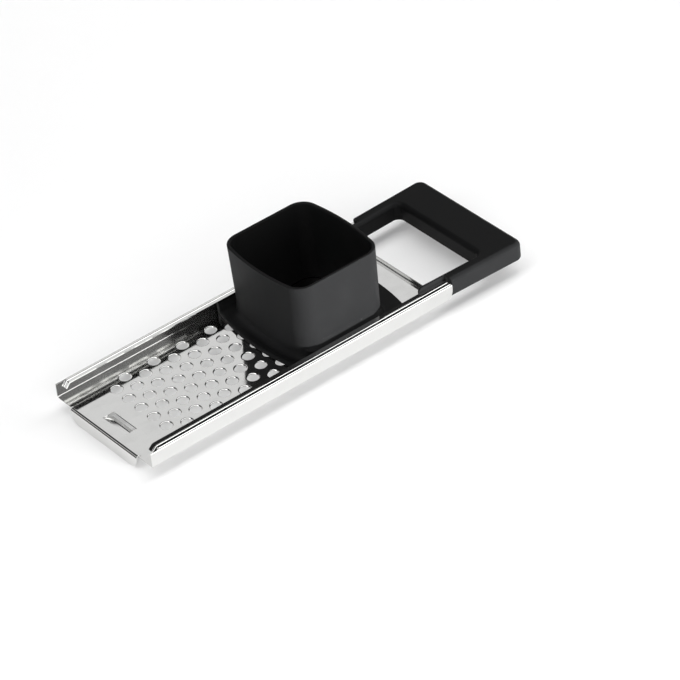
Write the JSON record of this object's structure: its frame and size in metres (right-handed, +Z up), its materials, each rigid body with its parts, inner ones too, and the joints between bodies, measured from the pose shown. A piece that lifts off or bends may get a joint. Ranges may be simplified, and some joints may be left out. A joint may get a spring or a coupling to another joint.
{
  "type": "dumpling maker",
  "caption": "Perforated steel tray with folded rails, a sliding hopper that presses dough through the holes, and a U-shaped handle; it lies across a pot.",
  "frame": {"origin": "on the underside of the tray's floor, where it rests on a pot, at the middle of the floor's length and on the centreline", "axes": "+X runs along the rails from the front edge to the handle, +Y across the tray, +Z up out of the hopper"},
  "size_m": [0.3459, 0.1188, 0.0775],
  "materials": {
    "polished_steel": "mirror polished",
    "hopper_plastic": "fine satin moulding",
    "handle_plastic": "fine satin moulding",
    "screw_steel": "bright"
  },
  "bodies": {
    "frame": {"tray_sheet": "polished_steel", "handle": "handle_plastic", "handle_screw_far": "screw_steel", "handle_screw_near": "screw_steel"},
    "slider": {"hopper_sled": "hopper_plastic"}
  },
  "joints": [
    {"name": "hopper_slide", "type": "slide", "parent": "frame", "child": "slider", "axis": [1, 0, 0], "range_m": [-0.1353, 0.0098]}
  ]
}
